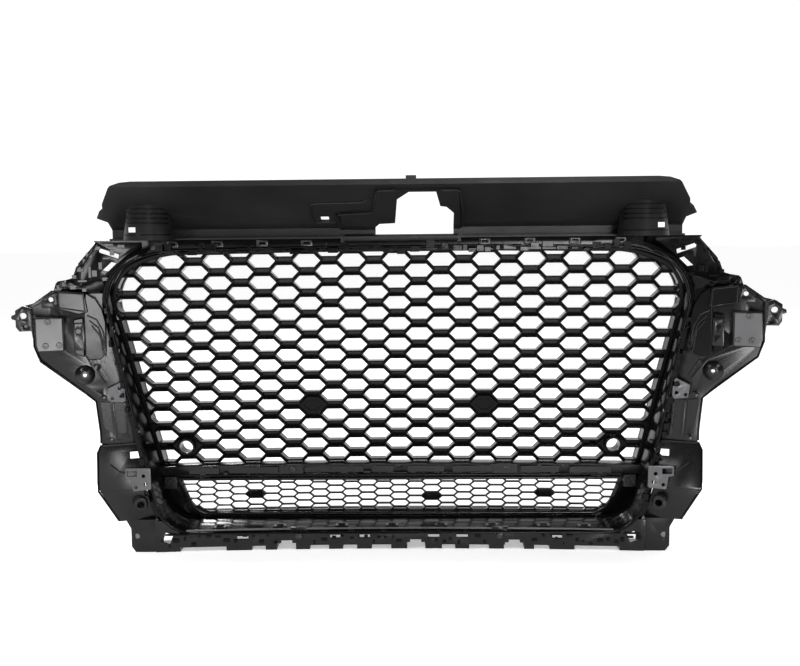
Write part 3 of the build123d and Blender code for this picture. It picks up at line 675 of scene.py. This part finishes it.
def cover_ridges():
    """Rounded ridges round the latch plateau and the pocket beside it."""
    work = bmesh.new()
    left = [(-74, 5), (-75, 42), (-73, 46), (-32, 50), (-28, 54), (-22, 104), (-17, 108), (2, 109)]
    slope_bead(work, left, PLATEAU_PROUD, 1.4 * MM)
    wall = [
        (-107, 20), (-109, 26), (-109, 62), (-106, 69), (-98, 71), (-44, 72), (-36, 76), (-31, 84),
    ]
    slope_bead(work, wall, WALL_PROUD, 1.8 * MM)
    inner = [(-78, 44), (-77, 24), (-80, 19), (-104, 18)]
    slope_bead(work, inner, WALL_PROUD, 1.2 * MM)
    right = [(60, 108), (78, 108), (83, 104), (88, 60), (90, 8)]
    slope_bead(work, right, PLATEAU_PROUD, 1.4 * MM)
    finish_piece(work, "cover_ridges", "matt_black", 60.0)


CONE_X = 324 * MM
CONE_Y = -46 * MM
CONE_FOOT_RADIUS = 33
CONE_NARROWING = 8
CONE_HEIGHT = 63
CONE_RING_LEVELS = (52, 46, 40, 34, 28, 22, 7)


def cone_ridges():
    """Moulded rings round the rear half of the two buffer cones."""
    work = bmesh.new()
    turns = [radians(200 + 140 * step / 14) for step in range(15)]
    for side in (-1, 1):
        centre_x = side * CONE_X
        for level in CONE_RING_LEVELS:
            radius = (CONE_FOOT_RADIUS - CONE_NARROWING * level / CONE_HEIGHT) * MM + 0.2 * MM
            height = COVER_LOW.z + level * MM
            ring = [
                (centre_x + radius * cos(turn), CONE_Y + radius * sin(turn), height)
                for turn in turns
            ]
            bead(work, ring, 0.7 * MM)
    finish_piece(work, "cone_ridges", "gloss_black", 60.0)


CROSSBAR_SETBACK = 12 * MM
CROSSBAR_PANELS = (
    (-306, -262), (-248, -176), (-138, -52), (-40, -8),
    (12, 66), (78, 136), (176, 232), (246, 306),
)


def crossbar_panels():
    """Raised panels, screw pads and clips on the crossbar's rear face."""
    pick = Random(9)
    low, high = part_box("crossbar")
    middle = (low.z + high.z) / 2
    work = bmesh.new()

    def panel(x0, x1, z0, z1, proud):
        rear = min(mesh_y(x0, z0), mesh_y(x1, z1)) - CROSSBAR_SETBACK
        block(work, (x0, rear - proud, z0), (x1, rear + 3 * MM, z1))

    for x0, x1 in CROSSBAR_PANELS:
        panel(x0 * MM, x1 * MM, middle - 5 * MM, middle + 4.5 * MM, 1.2 * MM)
    for x0 in (-176, 136):
        panel(x0 * MM, (x0 + 36) * MM, middle - 7 * MM, middle + 6.6 * MM, 0.4 * MM)
    for place in range(-290, 300, 34):
        wide = pick.uniform(5, 12)
        panel(place * MM, (place + wide) * MM, middle - 6.8 * MM, middle - 3 * MM, 2.6 * MM)
        if pick.random() < 0.6:
            panel((place + 14) * MM, (place + 20) * MM, middle + 3 * MM, middle + 6.8 * MM, 2.2 * MM)
    for x in (-156 * MM, 156 * MM):
        rear = mesh_y(x, middle) - CROSSBAR_SETBACK
        tube(work, x, middle, [(6.4 * MM, rear + 2 * MM), (6.4 * MM, rear - 1.6 * MM),
                               (5.0 * MM, rear - 1.6 * MM), (5.0 * MM, rear + 2 * MM)])
    piece = finish_piece(work, "crossbar_panels", "satin_black")
    round_edges(piece, 0.4 * MM)


def insert_loop(margin):
    """Outline of the lower insert: square upper corners, wide round lower ones."""
    half, low_half = 322 * MM, 306 * MM
    top, bottom = 89 * MM, 35 * MM
    fillet_wide, fillet_tall = 29 * MM, 32 * MM
    loop = [(half, top)]
    for step in range(9):
        turn = radians(-10 - 80 * step / 8)
        x = low_half - 24 * MM + fillet_wide * cos(turn)
        loop.append((x, bottom + 32 * MM + fillet_tall * sin(turn)))
    loop += [(-x, z) for x, z in reversed(loop)]
    loop.reverse()
    return grow_loop(loop, margin)


def insert_rim():
    """Rounded rim of the lower insert, with its small clips."""
    work = bmesh.new()
    loop = insert_loop(1.5 * MM)
    places = [(x, mesh_y(x, z) - 4.6 * MM, z) for x, z in loop]
    bead(work, places + places[:1], 2.5 * MM, 12)
    outer = insert_loop(6.5 * MM)
    places = [(x, mesh_y(x, z) - 2.2 * MM, z) for x, z in outer]
    bead(work, places + places[:1], 1.8 * MM, 10)
    for x in range(-290, 300, 58):
        for z, wide in ((93.5, 11), (31.5, 7)):
            rear = mesh_y(x * MM, z * MM) - 4 * MM
            block(work, ((x - wide) * MM, rear - 2.2 * MM, (z - 2) * MM),
                  ((x + wide) * MM, rear + 3 * MM, (z + 2) * MM))
            block(work, ((x - 2) * MM, rear - 4 * MM, (z - 3) * MM),
                  ((x + 2) * MM, rear, (z + 1) * MM))
    piece = finish_piece(work, "insert_rim", "satin_black", 50.0)
    round_edges(piece, 0.3 * MM)


def corner_pads():
    """Screw pads beside the upper corners of the lower insert."""
    work = bmesh.new()
    for side in (-1, 1):
        x, z = side * 333 * MM, 88 * MM
        rear = mesh_y(x, z) - 16 * MM
        prism(work, [(x - 9 * MM, z - 9 * MM), (x + 9 * MM, z - 9 * MM),
                     (x + 9 * MM, z + 9 * MM), (x - 9 * MM, z + 9 * MM)], rear, rear + 12 * MM)
        tube(work, x, z, [(5.5 * MM, rear + 1 * MM), (5.5 * MM, rear - 1.8 * MM),
                          (3.0 * MM, rear - 1.8 * MM), (3.0 * MM, rear + 1 * MM)])
    piece = finish_piece(work, "corner_pads", "satin_black")
    round_edges(piece, 0.5 * MM)


def flank_clips():
    """Hooks, clip noses and short ribs down both sides of the carrier frame."""
    pick = Random(7)
    work = bmesh.new()
    loop = opening_loop(8 * MM)
    for (x0, z0), (x1, z1) in zip(loop, loop[1:] + loop[:1]):
        length = hypot(x1 - x0, z1 - z0)
        if length < 60 * MM or abs(z1 - z0) < abs(x1 - x0):
            continue
        along = 6 * MM
        while along < length - 14 * MM:
            share = along / length
            out = pick.uniform(-1, 7) * MM * (1 if x0 > 0 else -1)
            x = x0 + (x1 - x0) * share + out
            z = z0 + (z1 - z0) * share
            wide, tall = pick.uniform(1.5, 4) * MM, pick.uniform(3, 10) * MM
            rear = carrier_y(x, z)
            block(work, (x - wide, rear - pick.uniform(1, 4) * MM, z),
                  (x + wide, rear + 3 * MM, z + tall))
            along += tall + pick.uniform(2, 8) * MM
    piece = finish_piece(work, "flank_clips", "gloss_black")
    round_edges(piece, 0.4 * MM)


def painted_highlight_rail():
    """Thin grey rail along the lower rear edge of the recess; its light grey is a painted highlight,
    standing in for a light line reflected on a black edge.
    """
    work = bmesh.new()
    edge_z = 31 * MM
    places = [(x * MM, carrier_y(x * MM, edge_z) - 0.6 * MM, edge_z) for x in range(-300, 301, 20)]
    bead(work, places, 1.3 * MM, 10)
    # the bright_grey finish makes this bead a painted highlight line on the black edge
    finish_piece(work, "painted_highlight_rail", "bright_grey", 60.0)


def recess_tabs():
    """Small tabs in the dark recess under the insert."""
    work = bmesh.new()
    for x in (-255, -170, -82, -10, 60, 132, 205, 262):
        rear = carrier_y(x * MM, 33 * MM)
        block(work, ((x - 9) * MM, rear + 4 * MM, 30 * MM),
              ((x + 9) * MM, rear + 16 * MM, 33.5 * MM))
        block(work, ((x - 5) * MM, rear + 8 * MM, 33 * MM),
              ((x + 5) * MM, rear + 12 * MM, 36 * MM))
    piece = finish_piece(work, "recess_tabs", "satin_black")
    round_edges(piece, 0.4 * MM)


STRIP_CLEAR_PLACES = (-160, 23.5, 163, -142, 142)
STRIP_CLEAR_HALF = 16


def strip_fittings():
    """Ribs, hooks and clip noses on the strip that the part stands on."""
    pick = Random(3)
    work = bmesh.new()
    x = -336 * MM
    while x < 336 * MM:
        wide = pick.uniform(2, 9) * MM
        z = pick.uniform(7, 22) * MM
        tall = pick.uniform(2, 6) * MM
        rear = carrier_y(x, z)
        if all(abs(x / MM - place) >= STRIP_CLEAR_HALF for place in STRIP_CLEAR_PLACES):
            block(work, (x, rear - pick.uniform(1, 3.5) * MM, z),
                  (x + wide, rear + 1 * MM, min(z + tall, 25 * MM)))
        x += wide + pick.uniform(2, 9) * MM
    x = -330 * MM
    while x < 330 * MM:
        wide = pick.uniform(14, 40) * MM
        rear = carrier_y(x, 24 * MM)
        block(work, (x, rear - 2.2 * MM, 24.5 * MM), (x + wide, rear + 1 * MM, 27 * MM))
        x += wide + pick.uniform(3, 9) * MM
    piece = finish_piece(work, "strip_fittings", "gloss_black")
    round_edges(piece, 0.4 * MM)


# ---------------------------------------------------------------- wing fittings
WING_SWEEP = radians(19.0)
WING_ROOT = Vector((-370 * MM, 4 * MM, 0))
WING_PLACE = Matrix((
    (-cos(WING_SWEEP), -sin(WING_SWEEP), 0, WING_ROOT.x),
    (-sin(WING_SWEEP), cos(WING_SWEEP), 0, WING_ROOT.y),
    (0, 0, 1, 0),
    (0, 0, 0, 1),
))


def wing_pair(build, name, finish, round_width, smooth_angle=40.0, replaced=None):
    """Makes a wing piece in the wing's own plane, then its left and right copies."""
    for side in ("left", "right"):
        work = bmesh.new()
        build(work)
        bmesh.ops.transform(work, matrix=WING_PLACE, verts=work.verts)
        if side == "right":
            bmesh.ops.scale(work, vec=(-1, 1, 1), verts=work.verts)
        piece = finish_piece(work, f"{side}_{name}", finish, smooth_angle)
        if replaced:
            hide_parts(f"{side}_{replaced}")
        if round_width:
            round_edges(piece, round_width, 3)


def scaled(points):
    return [(x * MM, z * MM) for x, z in points]


def wing_bead(work, route, depth, radius):
    """A bead along a route in the wing's plane, at one depth."""
    bead(work, [(s * MM, depth, t * MM) for s, t in route], radius)


def edge_beads(work):
    """Thin folded edge round the outside of the wing and the deflector."""
    upper = [(125, 322), (125, 299), (118, 278), (62, 231), (49, 219), (45, 176), (45, 160)]
    wing_bead(work, upper, -1 * MM, 1.3 * MM)
    lower = [(45, 157, 0), (50, 147, -3), (51, 108, -12), (51, 96, -15.5), (25, 48, -4)]
    bead(work, [(s * MM, y * MM, t * MM) for s, t, y in lower], 1.5 * MM)


def duct_shell(work):
    """Rounded dark housing beside the lamp pocket."""
    prism(work, scaled([(92, 374), (58, 371), (54, 345), (66, 342), (92, 350)]), -25 * MM, 0)
    prism(work, scaled([(57, 371), (44, 362), (36, 348), (32, 330), (32, 288), (40, 279),
                        (56, 279), (60, 286), (60, 340)]), -17 * MM, 0)
    prism(work, scaled([(61, 337), (61, 282), (74, 288), (74, 334)]), -9 * MM, -6 * MM)


def duct_ribs(work):
    """Curved ribs over the dark housing and a lip round its mouth."""
    for reach in (0, 7, 14):
        route = [(56 - reach * 0.4, 340 - reach), (44 - reach * 0.3, 334 - reach * 1.6),
                 (36, 318 - reach * 2.2), (33, 298 - reach)]
        wing_bead(work, route, -17.6 * MM, 1.2 * MM)
    mouth = [(58, 346), (90, 352), (90, 372), (60, 369), (58, 346)]
    wing_bead(work, mouth, -25.4 * MM, 1.0 * MM)


def corner_web(work):
    """Webs that close the corner between the frame, the cover and the wing."""
    prism(work, scaled([(14, 330), (40, 334), (92, 352), (98, 372), (94, 384), (66, 384),
                        (44, 388), (36, 400), (24, 398), (22, 382), (16, 356)]), 4 * MM, 7 * MM)
    prism(work, scaled([(-44, 424), (2, 424), (8, 428), (38, 434), (44, 440), (-44, 440)]),
          5 * MM, 8 * MM)


def corner_hooks(work):
    """Clips and ribs on the corner between the frame and the wing."""
    for s, t, wide, tall, proud in (
        (62, 402, 9, 7, 10), (70, 392, 6, 5, 13), (50, 420, 8, 6, 9), (40, 430, 10, 5, 8),
        (56, 412, 5, 8, 12), (24, 434, 12, 4, 7), (44, 396, 7, 9, 11), (30, 388, 9, 5, 9),
        (72, 378, 8, 6, 10), (58, 374, 6, 5, 12), (8, 432, 10, 5, 6), (84, 384, 5, 5, 9),
        (50, 398, 4, 16, 8), (36, 406, 5, 10, 7),
        (60, 386, 12, 3, 9), (20, 424, 6, 8, 8), (90, 378, 6, 8, 12), (28, 416, 9, 3, 6),
    ):
        block(work, ((s - wide / 2) * MM, -proud * MM, (t - tall / 2) * MM),
              ((s + wide / 2) * MM, 2 * MM, (t + tall / 2) * MM))
    wing_bead(work, [(42, 432), (54, 414), (66, 404), (70, 392)], -9 * MM, 1.6 * MM)


def pocket_plate(work):
    """Lighter plate in the lamp pocket, with three bosses."""
    plate = [(121, 337), (88, 337), (88, 294), (119, 294), (121, 302)]
    prism(work, scaled(plate), -17.5 * MM, -15 * MM)
    boss = scaled([(3.6, -16), (3.6, -20), (1.8, -20), (1.8, -16)])
    for s, t in ((106, 333), (93, 301), (110, 301)):
        tube(work, s * MM, t * MM, boss)


def foot_frame(work):
    """Raised frame and ribs on the foot bracket."""
    for low, high in (
        ((-22, 38), (6, 40)), ((-22, 8), (6, 10)), ((-22, 10), (-20, 38)), ((4, 10), (6, 38)),
        ((-14, 33), (2, 35)), ((-16, 28), (-8, 29.5)),
    ):
        block(work, (low[0] * MM, -3 * MM, low[1] * MM), (high[0] * MM, 8 * MM, high[1] * MM))


def panel_steps(work):
    """Raised fields and a dome on the wing's flat panel."""
    prism(work, scaled([(12, 216), (26, 216), (23, 172), (10, 172)]), -1.6 * MM, 0.5 * MM)
    prism(work, scaled([(30, 216), (44, 218), (40, 180), (27, 172)]), -1.4 * MM, 0.5 * MM)
    prism(work, scaled([(52, 277), (34, 248), (30, 250), (46, 277)]), -1.6 * MM, 0.5 * MM)
    dome = [(13.6, 0), (13.6, -2), (12.0, -3), (7.5, -8.5), (6.0, -9), (2.6, -9), (2.6, 0)]
    tube(work, 62 * MM, 257 * MM, scaled(dome), 28)


def deflector_marks(work):
    """Crease, ledge and a short bent rib on the deflector."""
    wing_bead(work, [(-16, 94), (10, 94), (49, 94)], -14.9 * MM, 1.1 * MM)
    block(work, (-20 * MM, -2.5 * MM, 155 * MM), (44 * MM, 1 * MM, 157.5 * MM))
    rib = [(34, -8.5, 130), (22, -11.5, 120), (12, -12, 117)]
    bead(work, [(s * MM, y * MM, t * MM) for s, y, t in rib], 1.0 * MM)


# ---------------------------------------------------------------- studio
# each lamp's name, place, aim, width and height in metres, and its power in watts
LAMPS = (
    ("rear_softbox", (0.42, -2.5, 0.2), (-0.35, 0, 0.25), 0.4, 0.8, 34.0),
    ("key_light", (-1.3, -0.9, 1.9), (0, 0, 0.25), 0.34, 0.3, 26.0),
    ("side_light", (1.4, -0.9, 1.5), (0, 0, 0.25), 0.26, 0.3, 11.0),
    ("low_light", (-0.9, -1.5, 0.35), (0.1, 0, 0.1), 0.16, 0.24, 2.5),
    ("top_light", (0.0, 0.1, 2.4), (0, 0, 0.2), 1.6, 0.6, 16.0),
    ("front_light", (-0.9, 2.3, 1.5), (0, 0, 0.25), 0.6, 0.5, 30.0),
)
SKY_DIM, SKY_BRIGHT = 0.16, 1.15
FLOOR_HALF = 30.0
FLOOR_GLOW = 0.4


def studio():
    """Pale floor, lamps, and a sky that lights from the front and looks white all round."""
    floor_data = bmesh.new()
    bmesh.ops.create_grid(floor_data, x_segments=1, y_segments=1, size=FLOOR_HALF)
    floor_mesh = bpy.data.meshes.new("floor")
    floor_data.to_mesh(floor_mesh)
    floor_data.free()
    floor = bpy.data.objects.new("floor", floor_mesh)
    bpy.context.scene.collection.objects.link(floor)
    paper = Finish("pale_floor")
    tone = paper.ramp(paper.noise(2.0), 0.3, 0.7)
    floor_mesh.materials.append(paper.surface({
        "Base Color": paper.blend(tone, grey(0.86), grey(0.88)),
        "Roughness": 0.75,
        "Emission Color": (1.0, 1.0, 1.0, 1.0),
        "Emission Strength": FLOOR_GLOW,
    }))

    world = bpy.data.worlds.new("sky")
    world.use_nodes = True
    nodes, links = world.node_tree.nodes, world.node_tree.links
    background = nodes["Background"]
    direction = nodes.new("ShaderNodeTexCoord")
    parts = nodes.new("ShaderNodeSeparateXYZ")
    fade = nodes.new("ShaderNodeMapRange")
    fade.interpolation_type = "SMOOTHSTEP"
    fade.inputs["From Min"].default_value = -0.35
    fade.inputs["From Max"].default_value = 0.55
    fade.inputs["To Min"].default_value = SKY_DIM
    fade.inputs["To Max"].default_value = SKY_BRIGHT
    links.new(direction.outputs["Generated"], parts.inputs["Vector"])
    links.new(parts.outputs["Y"], fade.inputs["Value"])
    ray = nodes.new("ShaderNodeLightPath")
    brightest = nodes.new("ShaderNodeMath")
    brightest.operation = "MAXIMUM"
    links.new(fade.outputs["Result"], brightest.inputs[0])
    links.new(ray.outputs["Is Camera Ray"], brightest.inputs[1])
    links.new(brightest.outputs["Value"], background.inputs["Strength"])
    background.inputs["Color"].default_value = (1.0, 1.0, 1.0, 1.0)
    bpy.context.scene.world = world

    for name, place, aim, width, height, power in LAMPS:
        lamp = bpy.data.lights.new(name, "AREA")
        lamp.shape = "RECTANGLE"
        lamp.size = width
        lamp.size_y = height
        lamp.energy = power
        holder = bpy.data.objects.new(name, lamp)
        holder.location = place
        holder.visible_camera = False
        aim_line = Vector(aim) - Vector(place)
        holder.rotation_euler = aim_line.to_track_quat("-Z", "Y").to_euler()
        bpy.context.scene.collection.objects.link(holder)


CAMERA_PLACE = Vector((0.0303, -1.271, 0.4433))
CAMERA_TURN, CAMERA_TILT, CAMERA_ROLL = radians(1.17), radians(-6.0), radians(0.57)
SENSOR_WIDTH, FOCAL_LENGTH = 36.0, 41.81


def camera():
    """The camera stands behind the part, a little above its middle, and looks slightly down."""
    turn = Matrix.Rotation(CAMERA_TURN, 3, "Z")
    tilt = Matrix.Rotation(CAMERA_TILT, 3, "X")
    roll = Matrix.Rotation(CAMERA_ROLL, 3, "Y")
    axes = turn @ tilt @ roll
    right, ahead, up = axes.col[0], axes.col[1], axes.col[2]
    lens = bpy.data.cameras.new("camera")
    lens.sensor_width = SENSOR_WIDTH
    lens.lens = FOCAL_LENGTH
    holder = bpy.data.objects.new("camera", lens)
    holder.matrix_world = Matrix((
        (right.x, up.x, -ahead.x, CAMERA_PLACE.x),
        (right.y, up.y, -ahead.y, CAMERA_PLACE.y),
        (right.z, up.z, -ahead.z, CAMERA_PLACE.z),
        (0, 0, 0, 1),
    ))
    bpy.context.scene.collection.objects.link(holder)
    bpy.context.scene.camera = holder


dress_cad_nodes()
honeycomb()
honeycomb_rim()
frame_bead()
rail_clips()
latch_roller()
cover_shell()
cover_ridges()
cone_ridges()
crossbar_panels()
insert_rim()
corner_pads()
flank_clips()
painted_highlight_rail()
recess_tabs()
strip_fittings()
wing_pair(edge_beads, "edge_beads", "gloss_black", 0, 60.0)
wing_pair(duct_shell, "duct_shell", "gloss_black", 3 * MM, 60.0, "duct")
wing_pair(duct_ribs, "duct_ribs", "satin_black", 0, 60.0)
wing_pair(corner_web, "corner_web", "gloss_black", 0.4 * MM)
wing_pair(corner_hooks, "corner_hooks", "gloss_black", 0.4 * MM)
wing_pair(pocket_plate, "pocket_plate", "bright_grey", 0.6 * MM)
wing_pair(foot_frame, "foot_frame", "matt_black", 0.4 * MM)
wing_pair(panel_steps, "panel_steps", "satin_black", 0.5 * MM)
wing_pair(deflector_marks, "deflector_marks", "matt_black", 0.3 * MM)
studio()
camera()
bpy.context.scene.view_settings.view_transform = "Standard"
